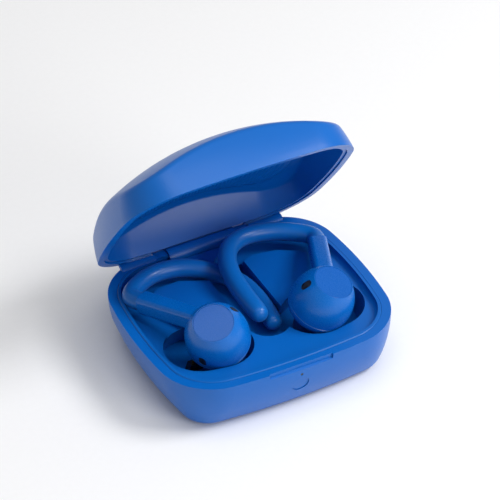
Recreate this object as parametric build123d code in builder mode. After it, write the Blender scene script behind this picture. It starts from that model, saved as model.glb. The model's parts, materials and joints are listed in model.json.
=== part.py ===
from build123d import *
import os
from math import atan2, cos, degrees, radians, sin, sqrt, tan

# True wireless sport earphones with ear hooks, lying in an open charging case.
# Millimetres. +Z up, -Y is the button side, +Y the hinge side, origin at the
# centre of the flat bottom. A bud's "side" is +1 on +X and -1 on -X.

# ---- case outline and walls -------------------------------------------------
half_width = 41.0
half_depth = 36.4
front_arc = 237.0          # radius of the long front and back sides
side_arc = 152.6           # radius of the two short sides
corner_radius = 19.0       # between them, at the rim
base_height = 19.0         # bottom to rim
wall_arc = 33.0            # radius of the base wall seen in section
bottom_edge = 4.6          # fillet round the bottom
corner_lean = 2.1          # corner radius lost for each millimetre of inset
shell_wall = 1.8
rim_band = 3.0             # flat rim of the base, parting line to tray
floor_thickness = 1.8
fit_gap = 0.1              # between pieces that drop into each other
running = 0.05             # radial clearance of anything that turns or slides

# ---- lid ----------------------------------------------------------------------
lid_wall_height = 9.6
lid_draft = 2.1
lid_edge = 2.9             # rounding between wall and crown
lid_top = 20.6             # rim to the crown's highest point
crown_arc = 86.6           # radius of the crown
lid_lean = 1.7
lid_rim = 2.2
lid_wall = 1.6
liner_wall = 1.2
liner_recess = 0.5         # liner edge stands back from the rim
lid_gap = 0.15             # rim to rim when closed
open_angle = 53.0

# ---- hinge ----------------------------------------------------------------------
hinge_y = 34.3
hinge_z = 16.8
barrel_radius = 3.0
barrel_gap = 0.3
sweep_half = 29.5          # lid edge dips into the base this far out from centre
block_half = 12.4
knuckle_end = 17.0
side_gap = 0.15
pin_radius = 0.8
spring_half = 4.0
spring_wire = 0.35

# ---- tray ----------------------------------------------------------------------
tray_lip = 0.25            # stands above the rim
tray_surface = base_height - 2.0
tray_sheet = 1.2
tray_ledge = 0.9           # ledge in the base that carries the tray
lip_width = 1.1
lip_slope = 1.6
lift_angle = 25.0          # pull direction, forward from straight up
pocket_floor = 6.0
channel_floor = 14.6
trough_floor = 11.4
trough_left = -5.6
trough_right = 8.7
trough_front = -17.6
trough_back = 23.6
hook_clearance = 1.0

# ---- buds ----------------------------------------------------------------------
face_centre = Vector(21.1, -17.7, 30.7)
bud_axis = Vector(0.28, -0.32, 0.905).normalized()
face_radius = 6.35
shoulder_radius = 10.3
shoulder_depth = 10.8
parting_depth = 11.6
underside_depth = 17.0
nozzle_radius = 2.6
nozzle_end = 20.8
bud_wall = 1.0
tip_radius = 5.4
tip_length = 6.8
tip_wall = 0.7
cap_thickness = 1.1
arm_width = 6.2
arm_height = 6.4
arm_corner = 1.6
arm_start = Vector(21.2, -11.9, 27.1)
arm_end = Vector(31.4, 12.0, 21.4)
elbow = 4.8                # straight run of tube out of the arm's end
hook_radius = 3.05
wire_radius = 0.5
pocket_inner = (17.3, -13.0, 11.25)     # x, y, radius of the close end
pocket_outer = (22.3, -11.2, 12.1)     # and of the wide end

# ---- electronics -----------------------------------------------------------------
board_z = 6.6
board_thickness = 1.0
battery_size = (44.0, 17.0, 5.8)
battery_y = 17.0
port_z = 7.2
port_width = 8.94
port_height = 3.2
port_depth = 7.3
button_z = 10.7
button_radius = 2.8
button_travel = 0.4
button_recess = 0.25
button_seam = 0.09
led_z = 15.2
led_radius = 0.45
notch_half = 11.0
pin_block = (5.0, 2.6)
plunger_radius = 0.5
plunger_pitch = 2.4
plunger_travel = 0.5
contact_gap = 0.05
magnet_length = 9.0

# ---- more of the lid and buds ------------------------------------------------------
rib_half = 11.4
rib_top = 3.6
rib_y = (34.7, 35.5)
lid_magnet_y = -33.9
lid_magnet_thickness = 0.9
lid_magnet_z = (0.9, 3.3)
bore_radius = face_radius + running
edge_radius = 7.1          # foot of the bright chamfer round the face
edge_depth = 0.75
face_web = 1.9             # skin under the touch cap
nozzle_bore = 1.8
tip_over = 3.2             # soft tip past the nozzle's end
contact_radius = 0.7
contact_length = 2.1
pin_spot = (23.8, -8.0)
pin_block_height = 5.2
pin_length = 4.8
contact_height = 8.61
mesh_size = (4.0, 2.4)
mesh_depth = 0.5
mic_spot = (3.7, 163.0, 32.0)      # depth, turn about the axis, slope
vent_spot = (8.6, -38.0, 5.0)
wire_root = 4.0            # wire's length inside the arm

os.makedirs("parts", exist_ok=True)

lift = Vector(0, -sin(radians(lift_angle)), cos(radians(lift_angle)))


def save(part, name):
    """Labels a finished piece and writes its own STEP file."""
    part.label = name
    export_step(part, f"parts/{name}.step")
    print(name, round(part.volume, 1), part.is_valid)


# ---- outline of the case ----------------------------------------------------------
def outline(plane, inset=0.0, corner=corner_radius, scale=1.0):
    """Rounded rectangle of eight tangent arcs, moved in by inset, then scaled."""
    front_r = front_arc - inset
    side_r = side_arc - inset
    front_c = Vector(0, front_arc - half_depth)
    side_c = Vector(half_width - side_arc, 0)
    reach_f = front_r - corner
    reach_s = side_r - corner
    between = (side_c - front_c).length
    along = (reach_f**2 - reach_s**2 + between**2) / (2 * between)
    across = sqrt(reach_f**2 - along**2)
    toward = (side_c - front_c).normalized()
    square = Vector(-toward.Y, toward.X)
    corner_c = front_c + toward * along + square * across
    if corner_c.Y > 0:
        corner_c = front_c + toward * along - square * across
    on_front = front_c + (corner_c - front_c).normalized() * front_r
    on_side = side_c + (corner_c - side_c).normalized() * side_r
    half_turn = ((on_front - corner_c) + (on_side - corner_c)).normalized()
    on_corner = corner_c + half_turn * corner

    def at(point, sx, sy):
        return (point.X * scale * sx, point.Y * scale * sy)

    front = (0, -(half_depth - inset) * scale)
    right = ((half_width - inset) * scale, 0)
    with BuildSketch(plane) as face:
        with BuildLine():
            ThreePointArc(at(on_front, -1, 1), front, at(on_front, 1, 1))
            ThreePointArc(at(on_front, 1, 1), at(on_corner, 1, 1), at(on_side, 1, 1))
            ThreePointArc(at(on_side, 1, 1), right, at(on_side, 1, -1))
            ThreePointArc(at(on_side, 1, -1), at(on_corner, 1, -1), at(on_front, 1, -1))
            ThreePointArc(at(on_front, 1, -1), (0, -front[1]), at(on_front, -1, -1))
            ThreePointArc(at(on_front, -1, -1), at(on_corner, -1, -1), at(on_side, -1, -1))
            ThreePointArc(at(on_side, -1, -1), (-right[0], 0), at(on_side, -1, 1))
            ThreePointArc(at(on_side, -1, 1), at(on_corner, -1, 1), at(on_front, -1, 1))
        make_face()
    return face.sketch


def base_inset(z):
    """How far the outside of the base wall stands in from the rim at height z."""
    return wall_arc - sqrt(wall_arc**2 - (base_height - z) ** 2)


def base_section(z, extra=0.0):
    """Section of the base at height z, moved in by extra."""
    inset = base_inset(z)
    corner = corner_radius - corner_lean * inset - extra
    return outline(Plane.XY.offset(z), inset + extra, max(corner, 1.5))


def base_hull(extra=0.0):
    """Outside of the base as one solid, moved in by extra."""
    with BuildPart() as hull:
        loft([base_section(base_height * step / 4, extra) for step in range(5)])
        fillet(hull.faces().sort_by(Axis.Z)[0].edges(), bottom_edge)
    return hull.part


def rod(plane, radius, length):
    """Cylinder along the plane's normal."""
    with BuildPart() as piece:
        with BuildSketch(plane):
            Circle(radius)
        extrude(amount=length)
    return piece.part


def block(low, high):
    """Box from one corner to the other."""
    with BuildPart() as piece:
        with BuildSketch(Plane.XY.offset(low[2])):
            with Locations(((low[0] + high[0]) / 2, (low[1] + high[1]) / 2)):
                Rectangle(high[0] - low[0], high[1] - low[1])
        extrude(amount=high[2] - low[2])
    return piece.part


def hinge_rod(radius, low_x, high_x):
    """Cylinder on the hinge axis from one x to another."""
    return rod(Plane((low_x, hinge_y, hinge_z), z_dir=(1, 0, 0)), radius, high_x - low_x)


# ---- planes --------------------------------------------------------------------------
opened = radians(open_angle)
lid_plane = Plane(
    origin=(
        0,
        hinge_y - hinge_y * cos(opened) + (base_height - hinge_z) * sin(opened),
        hinge_z + hinge_y * sin(opened) + (base_height - hinge_z) * cos(opened),
    ),
    x_dir=(1, 0, 0),
    z_dir=(0, sin(opened), cos(opened)),
)


def bud_plane(side, depth=0.0, u=0.0, v=0.0):
    """Plane square to a bud's axis, depth below its face, moved by u outward and v."""
    axis = Vector(side * bud_axis.X, bud_axis.Y, bud_axis.Z)
    outward = Vector(side, 0, 0)
    across = (outward - axis * axis.dot(outward)).normalized()
    base = Plane(origin=(0, 0, 0), x_dir=across, z_dir=axis)
    centre = Vector(side * face_centre.X, face_centre.Y, face_centre.Z)
    origin = centre - axis * depth + across * u + base.y_dir * (v * side)
    return Plane(origin=origin, x_dir=across, z_dir=axis)


# ---- cradle cavities, shared by the tray and the base ---------------------------------
def pocket(side, grow, floor, top):
    """Bud pocket, from floor to top, slanted along the pull direction."""
    tilt = tan(radians(lift_angle))
    shift = (tray_surface - floor) * tilt
    ix, iy, ir = pocket_inner
    ox, oy, outer_r = pocket_outer
    with BuildPart() as piece:
        with BuildSketch(Plane.XY.offset(floor)):
            with BuildLine():
                CenterArc((side * ix, iy + shift), ir + grow, 0, 360)
                CenterArc((side * ox, oy + shift), outer_r + grow, 0, 360)
            make_hull()
        extrude(amount=(top - floor) / lift.Z, dir=lift)
    return piece.part


def trough(grow, floor, top):
    """Centre recess for the two hook tails, slanted along the pull direction."""
    shift = (tray_surface - floor) * tan(radians(lift_angle))
    radius = (trough_right - trough_left) / 2 + grow
    middle = (trough_left + trough_right) / 2
    front = trough_front + shift + radius - grow
    back = trough_back + grow
    with BuildPart() as piece:
        with BuildSketch(Plane.XY.offset(floor)):
            with BuildLine():
                Line((middle - radius, back), (middle - radius, front))
                ThreePointArc(
                    (middle - radius, front), (middle, front - radius), (middle + radius, front)
                )
                Line((middle + radius, front), (middle + radius, back))
                Line((middle + radius, back), (middle - radius, back))
            make_face()
        extrude(amount=(top - floor) / lift.Z, dir=lift)
    return piece.part


def route_radii(points):
    """Largest bend radius at each corner that its two runs leave room for."""
    radii = []
    for before, corner, after in zip(points, points[1:], points[2:]):
        first = corner - before
        second = after - corner
        half_turn = radians(first.get_angle(second)) / 2
        radii.append(0.47 * min(first.length, second.length) / tan(half_turn))
    return radii


def hook_route(side):
    """Corner points of a hook's centre line, from the arm's end to the tail.
    The right hook lies over the left one, so each has its own tail."""
    end = Vector(side * arm_end.X, arm_end.Y, arm_end.Z)
    start = Vector(side * arm_start.X, arm_start.Y, arm_start.Z)
    turn = end + (end - start).normalized() * elbow
    if side > 0:
        bend = [(29.0, 20.4, 20.9), (22.5, 24.6, 21.8), (12.5, 26.6, 22.6), (3.6, 23.0, 23.2)]
        tail = [(-1.2, 12.5, 22.6), (-1.5, 0.5, 21.3), (-0.9, -11.0, 20.3)]
    else:
        bend = [(-30.4, 20.3, 20.3), (-23.5, 25.2, 20.0), (-13.5, 25.6, 19.9)]
        tail = [(-4.6, 20.9, 18.2), (2.6, 17.0, 15.0), (5.2, 9.5, 14.9), (4.9, -2.0, 15.0)]
        tail.append((3.8, -10.6, 14.9))
    return [end, turn] + [Vector(*point) for point in bend + tail]


def channel(side, grow, floor, top):
    """Shallow recess in the tray below an arm and the outer run of its hook."""
    route = hook_route(side)[1:7]
    start = Vector(side * arm_start.X, arm_start.Y)
    flat = [start] + [Vector(point.X, point.Y) for point in route]
    width = 2 * (hook_radius + hook_clearance + grow)
    room = rim_band + tray_ledge + fit_gap + tray_sheet - grow
    with BuildPart() as piece:
        with BuildSketch(Plane.XY.offset(floor)):
            for near, far in zip(flat, flat[1:]):
                run = far - near
                with Locations((near + far) / 2):
                    SlotCenterToCenter(run.length, width, rotation=degrees(atan2(run.Y, run.X)))
        extrude(amount=top - floor)
        with BuildSketch(Plane.XY.offset(floor)):
            add(outline(Plane.XY, room, corner_radius - room))
        extrude(amount=top - floor, mode=Mode.INTERSECT)
    return piece.part


# ---- base shell -------------------------------------------------------------------------
def hinge_sweep(radius, margin=0.0):
    """Room for the lid's back edge to turn in, clear of the two knuckles."""
    cuts = hinge_rod(radius, -block_half - side_gap - margin, block_half + side_gap + margin)
    for side in (-1, 1):
        near = knuckle_end - margin
        far = sweep_half + margin
        cuts = cuts + hinge_rod(radius, min(side * near, side * far), max(side * near, side * far))
    return cuts


outer_base = base_hull()
cavity_top = tray_surface - tray_sheet
wall_turn = base_height - 10.0       # below this the cavity follows the wall inward
cavity_low = 4.8
sweep_radius = barrel_radius + barrel_gap
button_hole = button_radius + button_seam
front_axis = Plane((0, -half_depth - 2, button_z), z_dir=(0, 1, 0))
led_axis = Plane((0, -half_depth - 2, led_z), z_dir=(0, 1, 0))
wall_inner_y = -half_depth + rim_band + tray_ledge
flange_plane = Plane((0, wall_inner_y, button_z), z_dir=(0, 1, 0))
flange_radius = 3.6
boss_places = [(-9.0, -28.2), (9.0, -28.2), (0.0, 5.0)]
boss_radius = 1.7
screw_radius = 0.7
usb_posts = [(-5.5, 29.0), (5.5, 29.0)]
usb_board_z = 4.7
magnet_x = 17.0
base_magnet_y = -33.35
base_magnet = (magnet_length, 1.2, 2.4)
base_magnet_z = 16.2


def magnet_box(x, y_in, size, z_low, grow=0.0):
    """Bar magnet beside the front wall; y_in is its inner face."""
    low = (x - size[0] / 2 - grow, y_in - size[1] - grow, z_low - grow)
    high = (x + size[0] / 2 + grow, y_in + (2.0 if grow else 0.0), z_low + size[2] + grow)
    return block(low, high)


with BuildPart() as base_shell:
    add(outer_base)
    # opening for the tray, the ledge under it and the cavity below
    with BuildSketch(Plane.XY.offset(cavity_top)):
        add(outline(Plane.XY, rim_band, corner_radius - rim_band))
    extrude(amount=base_height, mode=Mode.SUBTRACT)
    ledge_inset = rim_band + tray_ledge
    with BuildSketch(Plane.XY.offset(wall_turn)):
        add(outline(Plane.XY, ledge_inset, corner_radius - ledge_inset))
    extrude(amount=base_height, mode=Mode.SUBTRACT)
    low_inset = base_inset(cavity_low) + shell_wall
    floor_inset = base_inset(floor_thickness) + bottom_edge
    cavity_sections = [
        outline(Plane.XY.offset(wall_turn), ledge_inset, corner_radius - ledge_inset),
        outline(Plane.XY.offset(cavity_low), low_inset, corner_radius - 1.6 * low_inset),
        outline(Plane.XY.offset(floor_thickness), floor_inset, corner_radius - 1.2 * floor_inset),
    ]
    loft(cavity_sections, ruled=True, mode=Mode.SUBTRACT)
    # bosses for the boards
    with BuildSketch(Plane.XY.offset(floor_thickness - 0.3)):
        with Locations(*boss_places):
            Circle(boss_radius)
    extrude(amount=board_z - floor_thickness + 0.3)
    with BuildSketch(Plane.XY.offset(board_z - 3.4)):
        with Locations(*boss_places):
            Circle(screw_radius)
    extrude(amount=3.4, mode=Mode.SUBTRACT)
    with BuildSketch(Plane.XY.offset(floor_thickness - 0.3)):
        with Locations(*usb_posts):
            Circle(1.2)
    extrude(amount=usb_board_z - floor_thickness + 0.3)
    # hinge: trough for the lid's barrel, and bores for the pin in the two knuckles
    add(hinge_sweep(sweep_radius), mode=Mode.SUBTRACT)
    add(hinge_rod(pin_radius, -knuckle_end + 0.8, knuckle_end - 0.8), mode=Mode.SUBTRACT)
    # finger notch in the front edge
    with BuildSketch(Plane.YZ.offset(-notch_half)):
        with BuildLine():
            Polyline(
                (-half_depth - 1, base_height - 2.1),
                (-half_depth + 0.95, base_height - 1.5),
                (-half_depth + 0.95, base_height + 1),
                (-half_depth - 1, base_height + 1),
                close=True,
            )
        make_face()
    extrude(amount=2 * notch_half, mode=Mode.SUBTRACT)
    # button, light and charging port
    add(rod(front_axis, button_hole, 8.0), mode=Mode.SUBTRACT)
    add(rod(flange_plane, flange_radius + 0.15, 3.0), mode=Mode.SUBTRACT)
    add(rod(led_axis, led_radius + running, 9.0), mode=Mode.SUBTRACT)
    with BuildSketch(Plane((0, half_depth - 8, port_z), x_dir=(1, 0, 0), z_dir=(0, 1, 0))):
        SlotOverall(port_width + 2 * fit_gap, port_height + 2 * fit_gap)
    extrude(amount=12, mode=Mode.SUBTRACT)
    for side in (-1, 1):
        add(
            magnet_box(side * magnet_x, base_magnet_y, base_magnet, base_magnet_z, running),
            mode=Mode.SUBTRACT,
        )
save(base_shell.part, "base_shell")


# ---- cradle tray --------------------------------------------------------------------------
def tray_basin(inset):
    """Hollow above the tray's surface, its foot rounded into the lip."""
    with BuildPart() as basin:
        with BuildSketch(Plane.XY.offset(tray_surface)):
            add(outline(Plane.XY, inset, corner_radius - inset))
        extrude(amount=base_height)
        fillet(basin.faces().sort_by(Axis.Z)[0].edges(), lip_slope)
    return basin.part


tray_inset = rim_band + fit_gap
with BuildPart() as cradle_tray:
    with BuildSketch(Plane.XY.offset(cavity_top)):
        add(outline(Plane.XY, tray_inset, corner_radius - tray_inset))
    extrude(amount=base_height + tray_lip - cavity_top)
    chamfer(cradle_tray.faces().sort_by(Axis.Z)[-1].edges(), 0.25)
    add(tray_basin(tray_inset + lip_width), mode=Mode.SUBTRACT)
    for side in (-1, 1):
        add(pocket(side, tray_sheet, pocket_floor - tray_sheet, tray_surface - 0.5))
        add(channel(side, tray_sheet, channel_floor - tray_sheet, tray_surface - 0.5))
    add(trough(tray_sheet, trough_floor - tray_sheet, tray_surface - 0.5))
    for side in (-1, 1):
        add(pocket(side, 0, pocket_floor, base_height + 3), mode=Mode.SUBTRACT)
        add(channel(side, 0, channel_floor, base_height + 3), mode=Mode.SUBTRACT)
    add(trough(0, trough_floor, base_height + 3), mode=Mode.SUBTRACT)
    add(hinge_rod(sweep_radius + fit_gap, -sweep_half - 1, sweep_half + 1), mode=Mode.SUBTRACT)
save(cradle_tray.part, "cradle_tray")


# ---- small pieces in the base -----------------------------------------------------------
with BuildPart() as charge_board:
    with BuildSketch(Plane.XY.offset(board_z)):
        with Locations((0, -11.5)):
            Rectangle(9.2, 39.0)
        with Locations((0, -28.2)):
            Rectangle(24.0, 5.6)
    extrude(amount=board_thickness)
    with BuildSketch(Plane.XY.offset(board_z)):
        with Locations(*boss_places):
            Circle(screw_radius + fit_gap)
    extrude(amount=board_thickness, mode=Mode.SUBTRACT)
save(charge_board.part, "charge_board")

chip_low = board_z + board_thickness
with BuildPart() as board_chips:
    for y, size, tall in ((-20.0, 5.0, 0.9), (-12.5, 4.0, 0.8), (-6.5, 3.0, 0.8), (-1.0, 3.2, 1.0)):
        with BuildSketch(Plane.XY.offset(chip_low)):
            with Locations((0, y)):
                Rectangle(size, size)
        extrude(amount=tall)
save(board_chips.part, "board_chips")

with BuildPart() as board_screws:
    with BuildSketch(Plane.XY.offset(board_z - 3.0)):
        with Locations(*boss_places):
            Circle(screw_radius - running)
    extrude(amount=3.0 + board_thickness)
    with BuildSketch(Plane.XY.offset(chip_low)):
        with Locations(*boss_places):
            Circle(1.25)
            RegularPolygon(0.5, 6, mode=Mode.SUBTRACT)
    extrude(amount=0.7)
save(board_screws.part, "board_screws")

battery_low = floor_thickness + 0.6
with BuildPart() as case_battery:
    with BuildSketch(Plane.XY.offset(battery_low)):
        with Locations((0, battery_y)):
            RectangleRounded(battery_size[0], battery_size[1], 1.5)
    extrude(amount=battery_size[2])
    fillet(case_battery.edges().filter_by(Plane.XY), 0.8)
save(case_battery.part, "case_battery")

foam_half = battery_size[0] / 2 - 3
save(
    block((-foam_half, battery_y - 6, floor_thickness), (foam_half, battery_y + 6, battery_low)),
    "battery_foam",
)

# charging port, its contact tongue and its own small board
port_mouth = half_depth - 2.6
port_plane = Plane((0, port_mouth - port_depth, port_z), x_dir=(1, 0, 0), z_dir=(0, 1, 0))
with BuildPart() as usb_shell:
    with BuildSketch(port_plane):
        SlotOverall(port_width, port_height)
    extrude(amount=port_depth)
    with BuildSketch(port_plane.offset(0.5)):
        SlotOverall(port_width - 0.6, port_height - 0.6)
    extrude(amount=port_depth, mode=Mode.SUBTRACT)
save(usb_shell.part, "usb_shell")

with BuildPart() as usb_tongue:
    with BuildSketch(port_plane.offset(0.5)):
        RectangleRounded(6.7, 0.7, 0.2)
    extrude(amount=port_depth - 1.4)
save(usb_tongue.part, "usb_tongue")

save(block((-7.0, 26.2, usb_board_z), (7.0, 31.0, port_z - port_height / 2)), "usb_board")

# pairing button: cap in the front wall, plunger and switch behind it
flange_thickness = 0.6
with BuildPart() as pair_button:
    add(rod(front_axis, button_radius, wall_inner_y + fit_gap + half_depth + 2))
    add(base_hull(button_recess), mode=Mode.INTERSECT)
    add(rod(flange_plane.offset(fit_gap), flange_radius, flange_thickness))
save(pair_button.part, "pair_button")

plunger_plane = flange_plane.offset(fit_gap + flange_thickness)
plunger_length = 1.3
save(rod(plunger_plane, 0.9, plunger_length), "switch_plunger")

switch_y = plunger_plane.origin.Y + button_travel + 0.15
switch_top = button_z + 2.5
with BuildPart() as switch_body:
    add(block((-3.0, switch_y, chip_low), (3.0, switch_y + 2.5, switch_top)))
    add(rod(plunger_plane, 0.9 + running, plunger_length + button_travel + 0.2), mode=Mode.SUBTRACT)
save(switch_body.part, "switch_body")

led_face = switch_y + 0.1
save(block((-0.8, led_face, switch_top), (0.8, led_face + 0.6, cavity_top - running)), "status_led")

with BuildPart() as light_pipe:
    add(rod(led_axis, led_radius, led_face + half_depth + 2))
    add(base_hull(running), mode=Mode.INTERSECT)
save(light_pipe.part, "light_pipe")

save(block((5.4, -30.6, chip_low), (7.0, -29.4, chip_low + 0.6)), "lid_sensor")

with BuildPart() as base_magnets:
    for side in (-1, 1):
        add(magnet_box(side * magnet_x, base_magnet_y, base_magnet, base_magnet_z))
save(base_magnets.part, "base_magnets")

with BuildPart() as cradle_magnets:
    with BuildSketch(Plane.XY.offset(floor_thickness)):
        with Locations((-16.0, -7.0), (16.0, -7.0)):
            Circle(2.5)
    extrude(amount=pocket_floor - tray_sheet - floor_thickness - fit_gap)
save(cradle_magnets.part, "cradle_magnets")


# ---- sprung charging pins, along the pull direction --------------------------------------
def pin_plane(side, height, u=0.0):
    """Plane across a pin, height along the pull direction above the pocket floor."""
    base = Vector(side * pin_spot[0], pin_spot[1], pocket_floor)
    return Plane(origin=base + lift * height + Vector(u, 0, 0), x_dir=(1, 0, 0), z_dir=lift)


def side_name(side):
    """Node prefix of a side."""
    return "right" if side > 0 else "left"


pin_offsets = (-plunger_pitch / 2, plunger_pitch / 2)
pin_top = contact_height - contact_gap
for side in (-1, 1):
    with BuildPart() as charge_pin_block:
        with BuildSketch(Plane((side * pin_spot[0], pin_spot[1], pocket_floor))):
            Rectangle(*pin_block)
        extrude(amount=pin_block_height, dir=lift)
        for u in pin_offsets:
            with BuildSketch(pin_plane(side, pin_top - pin_length - plunger_travel - fit_gap, u)):
                Circle(plunger_radius + running)
            extrude(amount=pin_block_height, mode=Mode.SUBTRACT)
    save(charge_pin_block.part, f"{side_name(side)}_pin_block")
    with BuildPart() as charge_pins:
        for u in pin_offsets:
            with BuildSketch(pin_plane(side, pin_top - pin_length, u)):
                Circle(plunger_radius)
            extrude(amount=pin_length)
        chamfer(charge_pins.faces().sort_by(Axis(lift * 0, lift))[-2:].edges(), 0.15)
    save(charge_pins.part, f"{side_name(side)}_charge_pins")


# ---- lid, drawn closed on a plane that is already turned open ------------------------------
def lid_hull(extra, drop, low=0.0):
    """Lid shape as one solid, moved in by extra, its crown lowered by drop."""
    sections = []
    for height in (low, lid_wall_height / 2, lid_wall_height, lid_top):
        inset = lid_draft * max(height / lid_wall_height, 0) ** 1.5
        corner = corner_radius - lid_lean * inset - extra
        sections.append(outline(lid_plane.offset(lid_gap + height), inset + extra, corner))
    with BuildPart() as hull:
        loft(sections)
        with Locations(lid_plane.offset(lid_gap + lid_top - drop - crown_arc)):
            Sphere(crown_arc, mode=Mode.INTERSECT)
        fillet(hull.faces().filter_by(GeomType.SPHERE).edges(), lid_edge - extra / 2)
    return hull.part


def lid_block(low, high):
    """Box in the closed lid's own coordinates, heights from the base rim."""
    with BuildPart() as piece:
        with BuildSketch(lid_plane.offset(low[2])):
            with Locations(((low[0] + high[0]) / 2, (low[1] + high[1]) / 2)):
                Rectangle(high[0] - low[0], high[1] - low[1])
        extrude(amount=high[2] - low[2])
    return piece.part


def barrel(low_x, high_x):
    """Part of the lid's hinge barrel, trimmed flush with the back of the case."""
    foot = hinge_z - base_height - barrel_radius - 1
    with BuildPart() as piece:
        add(hinge_rod(barrel_radius, low_x, high_x))
        with BuildSketch(lid_plane.offset(foot)):
            add(outline(Plane.XY, 0.3, corner_radius - 0.3))
        extrude(amount=barrel_radius - foot, mode=Mode.INTERSECT)
    return piece.part


knuckle_room = (knuckle_end + side_gap, sweep_half - side_gap)
lid_cavity = lid_hull(lid_rim, lid_wall, -0.5)
lid_magnet_low = (magnet_length / 2, lid_magnet_y - lid_magnet_thickness, 0.9)
rib_low = (rib_half, rib_y[0], 0)
with BuildPart() as lid_shell:
    add(lid_hull(0, 0))
    add(barrel(*knuckle_room))
    add(barrel(-knuckle_room[1], -knuckle_room[0]))
    add(lid_cavity, mode=Mode.SUBTRACT)
    add(hinge_rod(sweep_radius, block_half, knuckle_room[0]), mode=Mode.SUBTRACT)
    add(hinge_rod(sweep_radius, -knuckle_room[0], -block_half), mode=Mode.SUBTRACT)
    add(
        hinge_rod(barrel_radius + running, -block_half - running, block_half + running),
        mode=Mode.SUBTRACT,
    )
    rib_room = rib_half + running
    add(
        lid_block((-rib_room, rib_y[0] - running, 0), (rib_room, rib_y[1] + running, rib_top + running)),
        mode=Mode.SUBTRACT,
    )
    for side in (-1, 1):
        near = side * magnet_x - magnet_length / 2 - running
        far = side * magnet_x + magnet_length / 2 + running
        slot_low = (near, lid_magnet_y - lid_magnet_thickness - running, lid_magnet_z[0] - running)
        slot_high = (far, lid_magnet_y + 2.0, lid_magnet_z[1] + running)
        add(lid_block(slot_low, slot_high), mode=Mode.SUBTRACT)
save(lid_shell.part, "lid_shell")

with BuildPart() as lid_liner:
    liner_inset = lid_rim + fit_gap
    liner_drop = lid_wall + fit_gap
    add(lid_hull(liner_inset, liner_drop))
    add(lid_hull(liner_inset + liner_wall, liner_drop + liner_wall, -0.5), mode=Mode.SUBTRACT)
    add(lid_block((-50, -50, -1), (50, 50, lid_gap + liner_recess)), mode=Mode.SUBTRACT)
    add(hinge_rod(sweep_radius + fit_gap, -sweep_half - 1, sweep_half + 1), mode=Mode.SUBTRACT)
save(lid_liner.part, "lid_liner")

with BuildPart() as lid_magnets:
    for side in (-1, 1):
        near = side * magnet_x - magnet_length / 2
        far = side * magnet_x + magnet_length / 2
        bar_low = (near, lid_magnet_y - lid_magnet_thickness, lid_magnet_z[0])
        add(lid_block(bar_low, (far, lid_magnet_y, lid_magnet_z[1])))
save(lid_magnets.part, "lid_magnets")

pin_bore = hinge_rod(pin_radius + running, -block_half - 1, block_half + 1)
spring_room = pin_bore + hinge_rod(barrel_radius - 0.9, -spring_half, spring_half)
with BuildPart() as lid_hinge_block:
    add(barrel(-block_half, block_half))
    add(lid_block((-rib_half, rib_y[0], 0), (rib_half, rib_y[1], rib_top)))
    add(spring_room, mode=Mode.SUBTRACT)
save(lid_hinge_block.part, "lid_hinge_block")

save(hinge_rod(pin_radius, -knuckle_end + 0.8, knuckle_end - 0.8), "hinge_pin")

spring_turns = 9
with BuildPart() as hinge_spring:
    pitch = 2 * (spring_half - spring_wire - fit_gap) / (spring_turns - 1)
    for turn in range(spring_turns):
        x = -spring_half + spring_wire + fit_gap + turn * pitch
        with BuildSketch(Plane.XY.offset(hinge_z)):
            with Locations((x, hinge_y + pin_radius + running + spring_wire)):
                Circle(spring_wire)
        revolve(axis=Axis((0, hinge_y, hinge_z), (1, 0, 0)))
save(hinge_spring.part, "hinge_spring")


# ---- buds -----------------------------------------------------------------------------------
def turned(side, first, arc, last):
    """Profile of (radius, depth) points turned about a bud's axis. The middle run
    is an arc through the three points given."""
    plane = bud_plane(side)
    profile = [(r, -d) for r, d in first]
    curve = [(r, -d) for r, d in arc]
    after = [(r, -d) for r, d in last]
    with BuildPart() as piece:
        with BuildSketch(Plane(origin=plane.origin, x_dir=plane.x_dir, z_dir=-plane.y_dir)):
            with BuildLine():
                Polyline(*profile, curve[0])
                ThreePointArc(*curve)
                Polyline(curve[2], *after, profile[0])
            make_face()
        revolve(axis=Axis(plane.origin, plane.z_dir))
    return piece.part


def bud_rod(side, depth, radius, length, u=0.0, v=0.0):
    """Cylinder along a bud's axis, from a depth further down."""
    return rod(bud_plane(side, depth, u, v), radius, -length)


def upper_form(side, less=0.0):
    """Housing from its face down to the parting line, moved in by less."""
    return turned(
        side,
        [(0, less), (bore_radius + 0.15 - less, less)],
        [
            (edge_radius - less, edge_depth + less / 2),
            (9.45 - less, 4.9),
            (shoulder_radius - less, shoulder_depth),
        ],
        [(shoulder_radius - less, parting_depth), (0, parting_depth)],
    )


def lower_form(side, less=0.0):
    """Housing below the parting line, moved in by less."""
    top = parting_depth + running
    return turned(
        side,
        [(0, top), (shoulder_radius - 0.4 - less, top)],
        [
            (shoulder_radius - less, top + 0.4),
            (9.0 - less, 15.0),
            (nozzle_radius + 1.8 - less / 2, underside_depth - less),
        ],
        [(0, underside_depth - less)],
    )


def skin_slot(side, spot, grow):
    """Slot-shaped plug through the housing's skin, turned about the bud's axis."""
    depth, turn, slope = spot
    plane = bud_plane(side, depth)
    around = radians(turn)
    radial = plane.x_dir * cos(around) + plane.y_dir * (sin(around) * side)
    normal = radial * cos(radians(slope)) + plane.z_dir * sin(radians(slope))
    along = plane.z_dir * cos(radians(slope)) - radial * sin(radians(slope))
    with BuildPart() as plug:
        with BuildSketch(Plane(origin=plane.origin + radial * 7.0, x_dir=along, z_dir=normal)):
            SlotOverall(mesh_size[0] + 2 * grow, mesh_size[1] + 2 * grow)
        extrude(amount=5.0)
    return plug.part


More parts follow.
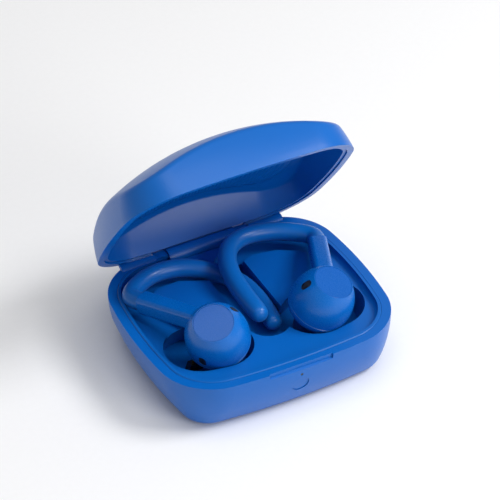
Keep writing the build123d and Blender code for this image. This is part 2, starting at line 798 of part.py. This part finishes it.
for side in (-1, 1):
    name = side_name(side)
    upper = upper_form(side)
    upper_cut = upper_form(side, mesh_depth)

    with BuildPart() as outer_shell:
        add(upper)
        add(upper_form(side, bud_wall) - bud_rod(side, 0, shoulder_radius, face_web), mode=Mode.SUBTRACT)
        add(bud_rod(side, -1, bore_radius, cap_thickness + running + 1), mode=Mode.SUBTRACT)
        add(bud_rod(side, 0, 4.9, 3.0), mode=Mode.SUBTRACT)
        for spot in (mic_spot, vent_spot):
            add(skin_slot(side, spot, running) - upper_cut, mode=Mode.SUBTRACT)
    save(outer_shell.part, f"{name}_outer_shell")

    for label, spot in (("mic_mesh", mic_spot), ("vent_mesh", vent_spot)):
        with BuildPart() as mesh:
            add(skin_slot(side, spot, 0))
            add(upper_form(side, 0.1), mode=Mode.INTERSECT)
            add(upper_cut, mode=Mode.SUBTRACT)
        save(mesh.part, f"{name}_{label}")

    with BuildPart() as touch_cap:
        add(bud_rod(side, 0, face_radius, cap_thickness))
        chamfer(touch_cap.edges().group_by(Axis(bud_plane(side).origin, bud_plane(side).z_dir))[-1], 0.12)
    save(touch_cap.part, f"{name}_touch_cap")

    with BuildPart() as charge_contacts:
        for u in pin_offsets:
            add(rod(pin_plane(side, contact_height, u), contact_radius, contact_length))
    save(charge_contacts.part, f"{name}_charge_contacts")

    with BuildPart() as inner_shell:
        add(lower_form(side))
        add(bud_rod(side, underside_depth - 0.2, nozzle_radius, nozzle_end - underside_depth + 0.2))
        add(lower_form(side, bud_wall), mode=Mode.SUBTRACT)
        add(bud_rod(side, 12.0, nozzle_bore, 10.0), mode=Mode.SUBTRACT)
        add(charge_contacts.part, mode=Mode.SUBTRACT)
    save(inner_shell.part, f"{name}_inner_shell")

    save(bud_rod(side, nozzle_end - 0.6, nozzle_bore - running, 0.4), f"{name}_nozzle_mesh")
    save(bud_rod(side, parting_depth + 0.6, 5.0, 3.0), f"{name}_driver")
    save(bud_rod(side, parting_depth - 6.3, 5.0, 5.4), f"{name}_battery")
    save(bud_rod(side, parting_depth - 0.8, 9.2, 0.8), f"{name}_board")
    save(bud_rod(side, parting_depth + 0.5, 1.4, 1.8, -6.7), f"{name}_magnet")

    tip_end = nozzle_end + tip_over
    tip_start = tip_end - tip_length
    hub_radius = nozzle_radius + tip_wall
    with BuildPart() as ear_tip:
        add(
            turned(
                side,
                [(nozzle_radius, tip_start), (nozzle_radius, tip_end), (hub_radius, tip_end)],
                [
                    (hub_radius + 0.6, tip_end - 0.2),
                    (tip_radius - 0.7, tip_end - 3.4),
                    (tip_radius, tip_start + 1),
                ],
                [(tip_radius, tip_start), (tip_radius - tip_wall, tip_start)],
            )
        )
        add(
            turned(
                side,
                [(hub_radius, tip_start - 1), (hub_radius, tip_end - 1.6)],
                [
                    (hub_radius + 0.3, tip_end - 1.5),
                    (tip_radius - 0.7 - tip_wall, tip_end - 3.6),
                    (tip_radius - tip_wall, tip_start + 1),
                ],
                [(tip_radius - tip_wall, tip_start - 1)],
            ),
            mode=Mode.SUBTRACT,
        )
    save(ear_tip.part, f"{name}_ear_tip")

    start = Vector(side * arm_start.X, arm_start.Y, arm_start.Z)
    points = hook_route(side)
    arm_dir = (points[0] - start).normalized()
    arm_plane = Plane(origin=start, x_dir=Vector(arm_dir.Y, -arm_dir.X, 0), z_dir=arm_dir)
    arm_length = (points[0] - start).length
    with BuildPart() as hook_arm:
        with BuildSketch(arm_plane):
            RectangleRounded(arm_width, arm_height, arm_corner)
        extrude(amount=arm_length)
        add(upper, mode=Mode.SUBTRACT)
        add(lower_form(side), mode=Mode.SUBTRACT)
        add(bud_rod(side, parting_depth - 0.1, shoulder_radius, 0.6), mode=Mode.SUBTRACT)
        add(rod(arm_plane.offset(arm_length), wire_radius + running, -wire_root), mode=Mode.SUBTRACT)
    save(hook_arm.part, f"{name}_hook_arm")

    with BuildPart() as ear_hook:
        with BuildLine() as route:
            FilletPolyline(*points, radius=route_radii(points))
        with BuildSketch(arm_plane.offset(arm_length)):
            Circle(hook_radius)
            Circle(wire_radius + running, mode=Mode.SUBTRACT)
        sweep()
        tail_end = route.line @ 1
        near_end = ear_hook.edges().filter_by(GeomType.CIRCLE).sort_by_distance(tail_end)[:2]
        fillet(near_end.sort_by(SortBy.RADIUS)[-1], hook_radius - wire_radius - 0.3)
    save(ear_hook.part, f"{name}_ear_hook")

    tail = points[-1] + (points[-2] - points[-1]).normalized() * 3.0
    wire_points = [points[0] - arm_dir * wire_root, *points[1:-1], tail]
    with BuildPart() as hook_wire:
        with BuildLine():
            FilletPolyline(*wire_points, radius=route_radii(points))
        with BuildSketch(arm_plane.offset(arm_length - wire_root)):
            Circle(wire_radius)
        sweep()
    save(hook_wire.part, f"{name}_hook_wire")
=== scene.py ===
import json
from math import cos, pi, radians, sin, sqrt

import bmesh
import bpy
from mathutils import Matrix, Vector
from mathutils.bvhtree import BVHTree


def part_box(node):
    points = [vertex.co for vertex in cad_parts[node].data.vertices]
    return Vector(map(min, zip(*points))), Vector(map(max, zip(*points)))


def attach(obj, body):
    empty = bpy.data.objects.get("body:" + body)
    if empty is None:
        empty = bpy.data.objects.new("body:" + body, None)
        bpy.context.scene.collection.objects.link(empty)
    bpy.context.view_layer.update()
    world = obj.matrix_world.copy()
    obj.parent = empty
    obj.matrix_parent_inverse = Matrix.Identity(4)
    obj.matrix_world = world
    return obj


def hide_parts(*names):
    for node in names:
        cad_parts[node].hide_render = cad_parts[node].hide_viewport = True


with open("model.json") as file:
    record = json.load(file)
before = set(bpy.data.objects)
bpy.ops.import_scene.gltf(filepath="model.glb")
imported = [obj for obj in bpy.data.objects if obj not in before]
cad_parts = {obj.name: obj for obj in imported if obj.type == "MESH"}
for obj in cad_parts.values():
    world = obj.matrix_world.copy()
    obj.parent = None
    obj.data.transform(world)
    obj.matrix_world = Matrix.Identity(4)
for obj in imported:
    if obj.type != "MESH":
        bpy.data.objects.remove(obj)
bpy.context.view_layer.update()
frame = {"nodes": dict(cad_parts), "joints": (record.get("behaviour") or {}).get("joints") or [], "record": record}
nodes = frame["nodes"]
record = frame["record"]
MM = 0.001
scene = bpy.context.scene

# Camera: turn from the front, height and roll in degrees; aim and distance in mm.
CAMERA_TURN, CAMERA_HEIGHT, CAMERA_ROLL = -26.376, 38.195, -1.224
CAMERA_AIM = Vector((12.04, 22.60, 19.0))
CAMERA_DISTANCE = 860.58
LENS, SENSOR = 189.94, 36

# Width of the slow drift of colour in a moulding, mm.
DRIFT_MM = 26.0

# Blender's wave texture draws this many bands for each unit at a scale of one.
WAVE_BANDS = 20

WORLD_LIGHT = 0.36
# name, place (m), width (m), power (W)
LAMPS = (
    ("key", (0.60, -0.36, 0.76), 0.38, 6.6),
    ("top", (-0.02, -0.10, 0.95), 0.6, 2.2),
    ("front_fill", (0.30, -0.85, 0.40), 0.4, 2.6),
)
LAMP_AIM = Vector((0, 0, 0.03))
FLOOR_HALF = 6.0


# ---- camera ---------------------------------------------------------------------------
def place_camera():
    """Long-lens view from the front left, a little above the case."""
    azimuth, elevation, roll = (
        radians(CAMERA_TURN), radians(CAMERA_HEIGHT), radians(CAMERA_ROLL)
    )
    back = Vector((sin(azimuth) * cos(elevation), -cos(azimuth) * cos(elevation), sin(elevation)))
    flat_right = Vector((cos(azimuth), sin(azimuth), 0))
    flat_up = back.cross(flat_right)
    right = flat_right * cos(roll) + flat_up * sin(roll)
    up = flat_up * cos(roll) - flat_right * sin(roll)
    data = bpy.data.cameras.new("camera")
    data.lens = LENS
    data.sensor_width = SENSOR
    data.clip_start = 0.05
    data.clip_end = 20
    camera = bpy.data.objects.new("camera", data)
    turn = Matrix((right, up, back)).transposed().to_4x4()
    camera.matrix_world = Matrix.Translation((CAMERA_AIM + back * CAMERA_DISTANCE) * MM) @ turn
    scene.collection.objects.link(camera)
    scene.camera = camera


place_camera()


# ---- material helpers -------------------------------------------------------------------
def linear(code):
    """sRGB hex to the linear colour that a shader socket takes."""
    channels = [int(code[i:i + 2], 16) / 255 for i in (0, 2, 4)]
    return [c / 12.92 if c <= 0.04045 else ((c + 0.055) / 1.055) ** 2.4 for c in channels] + [1.0]


def add_node(tree, kind, settings=None, **inputs):
    """Adds a shader node. An input is a value, or the output socket it is linked from,
    named by its label, or by i and its number."""
    node = tree.nodes.new(kind)
    for key, value in (settings or {}).items():
        setattr(node, key, value)
    for key, value in inputs.items():
        numbered = key[0] == "i" and key[1:].isdigit()
        socket = node.inputs[int(key[1:]) if numbered else key.replace("_", " ")]
        if isinstance(value, bpy.types.NodeSocket):
            tree.links.new(value, socket)
        else:
            socket.default_value = value
    return node


def blank(name):
    """A material with its nodes cleared, and the object's own coordinates."""
    material = bpy.data.materials.new(name)
    material.use_nodes = True
    tree = material.node_tree
    tree.nodes.clear()
    place = add_node(tree, "ShaderNodeTexCoord").outputs["Object"]
    return material, tree, place


def finish_material(tree, shader):
    out = add_node(tree, "ShaderNodeOutputMaterial")
    tree.links.new(shader.outputs[0], out.inputs["Surface"])


def moulded(name, body, shade, roughness, grain_mm, grain_depth_mm, sheen=0.0):
    """Moulded plastic or silicone: a slow drift of colour, and a fine even grain that
    the spark-eroded tool leaves, which softens the highlight."""
    material, tree, place = blank(name)
    drift = add_node(tree, "ShaderNodeTexNoise", Vector=place, Scale=1000 / DRIFT_MM, Detail=2.0)
    tone = add_node(
        tree, "ShaderNodeMix", {"data_type": "RGBA"},
        i0=drift.outputs["Fac"], i6=linear(body), i7=linear(shade),
    )
    grain = add_node(tree, "ShaderNodeTexNoise", Vector=place, Scale=1000 / grain_mm, Detail=3.0)
    rough = add_node(
        tree, "ShaderNodeMapRange", i0=grain.outputs["Fac"], i1=0.3, i2=0.7,
        i3=roughness - 0.05, i4=roughness + 0.05,
    )
    relief = add_node(
        tree, "ShaderNodeBump", Strength=1.0, Distance=grain_depth_mm * MM, Height=grain.outputs["Fac"]
    )
    shader = add_node(
        tree, "ShaderNodeBsdfPrincipled", Base_Color=tone.outputs[2], Roughness=rough.outputs[0],
        Normal=relief.outputs[0], IOR=1.5, Specular_IOR_Level=0.4, Sheen_Weight=sheen,
    )
    finish_material(tree, shader)
    return material


def metal(name, tint, roughness, brush_mm):
    """Plated or drawn metal with faint lines along its length."""
    material, tree, place = blank(name)
    stretch = add_node(tree, "ShaderNodeMapping", Vector=place, Scale=(0.08, 1.0, 1.0))
    lines = add_node(tree, "ShaderNodeTexNoise", Vector=stretch.outputs[0], Scale=1000 / brush_mm, Detail=2.0)
    rough = add_node(
        tree, "ShaderNodeMapRange", i0=lines.outputs["Fac"], i3=roughness - 0.06, i4=roughness + 0.08
    )
    shader = add_node(
        tree, "ShaderNodeBsdfPrincipled", Base_Color=linear(tint), Metallic=1.0, Roughness=rough.outputs[0]
    )
    finish_material(tree, shader)
    return material


def woven_mesh(name, wire, hole, pitch_mm):
    """Acoustic cloth: square holes between black wires, drawn coarse enough to show."""
    material, tree, place = blank(name)
    waves = []
    for axis in ("X", "Y"):
        waves.append(
            add_node(
                tree, "ShaderNodeTexWave", {"bands_direction": axis}, Vector=place,
                Scale=1000 / pitch_mm / WAVE_BANDS, Distortion=0.0,
            ).outputs["Fac"]
        )
    cloth = add_node(tree, "ShaderNodeMath", {"operation": "MAXIMUM"}, i0=waves[0], i1=waves[1])
    tone = add_node(
        tree, "ShaderNodeMix", {"data_type": "RGBA"}, i0=cloth.outputs[0], i6=linear(hole), i7=linear(wire)
    )
    relief = add_node(tree, "ShaderNodeBump", Distance=0.05 * MM, Height=cloth.outputs[0])
    shader = add_node(
        tree, "ShaderNodeBsdfPrincipled", Base_Color=tone.outputs[2], Roughness=0.45, Metallic=0.3,
        Normal=relief.outputs[0],
    )
    finish_material(tree, shader)
    return material


def board_laminate(name):
    """Solder mask over glass cloth, with the cloth's weave just showing."""
    material, tree, place = blank(name)
    weave = add_node(tree, "ShaderNodeTexChecker", Vector=place, Scale=1000 / 0.5)
    tone = add_node(
        tree, "ShaderNodeMix", {"data_type": "RGBA"}, i0=weave.outputs["Fac"],
        i6=linear("0F4A2A"), i7=linear("135434"),
    )
    shader = add_node(tree, "ShaderNodeBsdfPrincipled", Base_Color=tone.outputs[2], Roughness=0.3)
    finish_material(tree, shader)
    return material


def acrylic_painted_shade(name):
    """Light pipe: acrylic with painted shade, darkened so the unlit lamp reads as the dark dot that the shade in
    its small hole makes.
    """
    material, tree, place = blank(name)
    cloud = add_node(tree, "ShaderNodeTexNoise", Vector=place, Scale=1000 / 0.6)
    rough = add_node(tree, "ShaderNodeMapRange", i0=cloud.outputs["Fac"], i3=0.15, i4=0.3)
    # Dark base colour: painted shade of the small hole the lamp sits in.
    shader = add_node(
        tree, "ShaderNodeBsdfPrincipled", Base_Color=linear("28323C"), Roughness=rough.outputs[0],
        Transmission_Weight=0.2, IOR=1.49,
    )
    finish_material(tree, shader)
    return material


looks = {
    "case_blue": moulded("moulded_abs_case", "0064BC", "005EB4", 0.33, 0.28, 0.012),
    "tray_blue": moulded("moulded_abs_tray", "0066BC", "005CB0", 0.36, 0.28, 0.012),
    "bud_blue": moulded("moulded_abs_housing", "006AC2", "0060B6", 0.27, 0.22, 0.008),
    "cap_blue": moulded("moulded_abs_touch_cap", "005AB0", "0054A8", 0.27, 0.20, 0.005),
    "hook_silicone": moulded("soft_silicone_hook", "0068BA", "005EAE", 0.34, 0.35, 0.010, sheen=0.04),
    "tip_silicone": moulded("soft_silicone_tip", "00509E", "004A94", 0.5, 0.3, 0.01, sheen=0.05),
    "mesh_black": woven_mesh("woven_wire_mesh", "2A2D33", "050607", 0.32),
    "steel": metal("drawn_steel", "B9BCC0", 0.3, 0.2),
    "gold": metal("gold_plate", "D9AE56", 0.22, 0.3),
    "board_green": board_laminate("board_laminate"),
    "chip_black": moulded("epoxy_chip", "17181B", "1D1F22", 0.55, 0.2, 0.01),
    "battery_grey": moulded("battery_pouch", "9AA1A8", "A5ACB2", 0.35, 0.9, 0.03),
    "foam_black": moulded("foam_pad", "1B1C1F", "26272B", 0.9, 0.5, 0.08),
    "black_plastic": moulded("moulded_black_nylon", "15161A", "1B1C20", 0.45, 0.25, 0.01),
    "lamp_clear": acrylic_painted_shade("acrylic_painted_shade"),
    "magnet_nickel": metal("nickel_plate", "C9CBCD", 0.2, 0.3),
}
slots = {entry["node"]: entry["material_slot"] for entry in record["subparts"]}
for node_name, node in nodes.items():
    node.data.materials.clear()
    node.data.materials.append(looks[slots[node_name]])
    for face in node.data.polygons:
        face.material_index = 0


# ---- building helpers --------------------------------------------------------------------
def finished(name, form, body, slot, smooth=True):
    """Turns a bmesh into a piece with its look, riding on its body."""
    bmesh.ops.remove_doubles(form, verts=form.verts, dist=1e-6)
    bmesh.ops.recalc_face_normals(form, faces=form.faces)
    mesh = bpy.data.meshes.new(name)
    form.to_mesh(mesh)
    form.free()
    mesh.materials.append(looks[slot])
    for face in mesh.polygons:
        face.use_smooth = smooth
    piece = bpy.data.objects.new(name, mesh)
    scene.collection.objects.link(piece)
    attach(piece, body)
    return piece


def merged_copy(node_name):
    """A CAD node's mesh with its loose triangles joined, as a bmesh."""
    form = bmesh.new()
    form.from_mesh(nodes[node_name].data)
    bmesh.ops.remove_doubles(form, verts=form.verts, dist=2e-6)
    return form


# ---- the lid's own coordinates --------------------------------------------------------------
hinge = next(joint for joint in frame["joints"] if joint["name"] == "lid_hinge")
hinge_at = Vector(hinge["pos_m"])
opened = radians(-hinge["range_deg"][0])
rim_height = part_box("base_shell")[1].z
lid_up = Vector((0, sin(opened), cos(opened)))
lid_back = Vector((0, cos(opened), -sin(opened)))
lid_origin = hinge_at - lid_back * hinge_at.y + lid_up * (rim_height - hinge_at.z)


def on_lid(x, y, z):
    """Point of the closed lid, heights from the rim, as it lies when open."""
    return lid_origin + Vector((x, 0, 0)) + lid_back * y + lid_up * z


# ---- rippled ceiling of the lid's liner -----------------------------------------------------
def liner_ripples():
    """Curved ridges moulded into the liner's ceiling, fading out before its walls."""
    half_x, half_y, corner = 31.5 * MM, 26.8 * MM, 13 * MM
    pitch = 1.45 * MM
    height = 0.30 * MM
    fade = 3.0 * MM
    skin = 0.02 * MM
    lift = 0.03 * MM
    bow = 0.22
    tuck = 0.06 * MM
    thickness = 0.3 * MM
    ceiling = BVHTree.FromBMesh(merged_copy("lid_liner"))
    form = bmesh.new()
    bmesh.ops.create_grid(form, x_segments=300, y_segments=96, size=1.0)
    outside = []
    for vert in form.verts:
        x, y = vert.co.x * half_x, vert.co.y * half_y
        over_x = max(abs(x) - half_x + corner, 0)
        over_y = max(abs(y) - half_y + corner, 0)
        inset = corner - sqrt(over_x * over_x + over_y * over_y)
        hit = ceiling.ray_cast(on_lid(x, y, 0), lid_up)[0]
        if inset < 0 or hit is None:
            outside.append(vert)
            continue
        swell = min(max(inset / fade, 0), 1)
        swell = swell * swell * (3 - 2 * swell)
        across = x / (1 - bow * (y / half_y) ** 2)
        ridge = 0.5 + 0.5 * cos(2 * pi * across / pitch)
        vert.co = hit - lid_up * (skin + swell * (lift + ridge * height))
    bmesh.ops.delete(form, geom=outside, context="VERTS")
    for vert in form.verts:
        if vert.is_boundary:
            vert.co += lid_up * tuck
    piece = finished("lid_liner_ripples", form, "lid", "case_blue")
    wall = piece.modifiers.new("thickness", "SOLIDIFY")
    wall.thickness = thickness
    wall.offset = -1
    return piece


liner_ripples()


# ---- silicone ear hooks ----------------------------------------------------------------------
def ear_hook(side, stations):
    """Smooth silicone hook along its centre line: (x, y, z, radius), all mm."""
    name = f"{side}_hook_skin"
    curve = bpy.data.curves.new(name, "CURVE")
    curve.dimensions = "3D"
    curve.bevel_depth = 1.0 * MM
    curve.bevel_resolution = 10
    curve.resolution_u = 14
    curve.use_fill_caps = True
    line = curve.splines.new("NURBS")
    line.points.add(len(stations) - 1)
    for point, (x, y, z, radius) in zip(line.points, stations):
        point.co = (x * MM, y * MM, z * MM, 1)
        point.radius = radius
    line.order_u = 4
    line.use_endpoint_u = True
    line.resolution_u = 14
    form = bmesh.new()
    draft = bpy.data.objects.new(name + "_line", curve)
    scene.collection.objects.link(draft)
    solid = draft.evaluated_get(bpy.context.evaluated_depsgraph_get())
    form.from_mesh(bpy.data.meshes.new_from_object(solid))
    bpy.data.objects.remove(draft)
    piece = finished(name, form, f"{side}_bud", "hook_silicone")
    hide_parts(f"{side}_ear_hook")
    return piece


right_line = [
    (31.05, 11.2, 21.6, 2.9), (32.2, 13.9, 21.0, 3.0), (33.1, 16.4, 20.6, 3.05), (31.9, 19.0, 20.7, 3.05),
    (28.8, 21.3, 21.0, 3.0), (22.9, 24.6, 21.8, 3.0), (12.5, 26.7, 22.7, 3.0), (3.6, 23.2, 23.2, 3.05),
    (-1.3, 12.5, 22.6, 3.15), (-1.5, 0.5, 21.3, 3.2), (-1.1, -7.0, 20.6, 3.15), (-0.95, -9.4, 20.4, 3.0),
    (-0.9, -10.7, 20.3, 2.5), (-0.9, -11.4, 20.3, 1.6), (-0.9, -11.6, 20.3, 0.4),
]
left_line = [
    (-31.05, 11.2, 21.6, 2.9), (-32.2, 13.9, 21.0, 3.0), (-33.3, 16.6, 20.4, 3.05), (-32.5, 19.0, 20.3, 3.05),
    (-29.8, 21.4, 20.3, 3.0), (-23.5, 25.2, 20.1, 3.0), (-13.4, 25.5, 19.9, 3.0), (-4.4, 20.9, 18.2, 3.0),
    (2.6, 17.0, 15.1, 3.0), (5.2, 9.5, 14.95, 3.0), (4.9, -2.0, 15.0, 3.0), (4.2, -7.6, 15.0, 3.0),
    (3.9, -9.4, 15.0, 2.9), (3.8, -10.5, 14.95, 2.4), (3.75, -11.1, 14.9, 1.5), (3.73, -11.3, 14.9, 0.4),
]
ear_hook("right", right_line)
ear_hook("left", left_line)


# ---- floor and light -------------------------------------------------------------------------
def studio():
    """Plain pale floor, a soft key light to the front right, fill from above and in front."""
    form = bmesh.new()
    bmesh.ops.create_grid(form, x_segments=1, y_segments=1, size=FLOOR_HALF)
    mesh = bpy.data.meshes.new("floor")
    form.to_mesh(mesh)
    form.free()
    material, tree, place = blank("matt_paper_floor")
    fibre = add_node(tree, "ShaderNodeTexNoise", Vector=place, Scale=1000 / 2.0)
    tone = add_node(
        tree, "ShaderNodeMix", {"data_type": "RGBA"}, i0=fibre.outputs["Fac"],
        i6=linear("F4F4F5"), i7=linear("F7F7F8"),
    )
    shader = add_node(tree, "ShaderNodeBsdfPrincipled", Base_Color=tone.outputs[2], Roughness=0.75)
    finish_material(tree, shader)
    mesh.materials.append(material)
    floor = bpy.data.objects.new("floor", mesh)
    scene.collection.objects.link(floor)

    world = bpy.data.worlds.new("studio")
    world.use_nodes = True
    world.node_tree.nodes["Background"].inputs["Color"].default_value = (1, 1, 1, 1)
    world.node_tree.nodes["Background"].inputs["Strength"].default_value = WORLD_LIGHT
    scene.world = world
    for name, spot, size, power in LAMPS:
        data = bpy.data.lights.new(name, "AREA")
        data.size = size
        data.energy = power
        lamp = bpy.data.objects.new(name, data)
        lamp.location = spot
        lamp.rotation_euler = (Vector(spot) - LAMP_AIM).to_track_quat("Z", "Y").to_euler()
        scene.collection.objects.link(lamp)
    scene.view_settings.view_transform = "Standard"


studio()
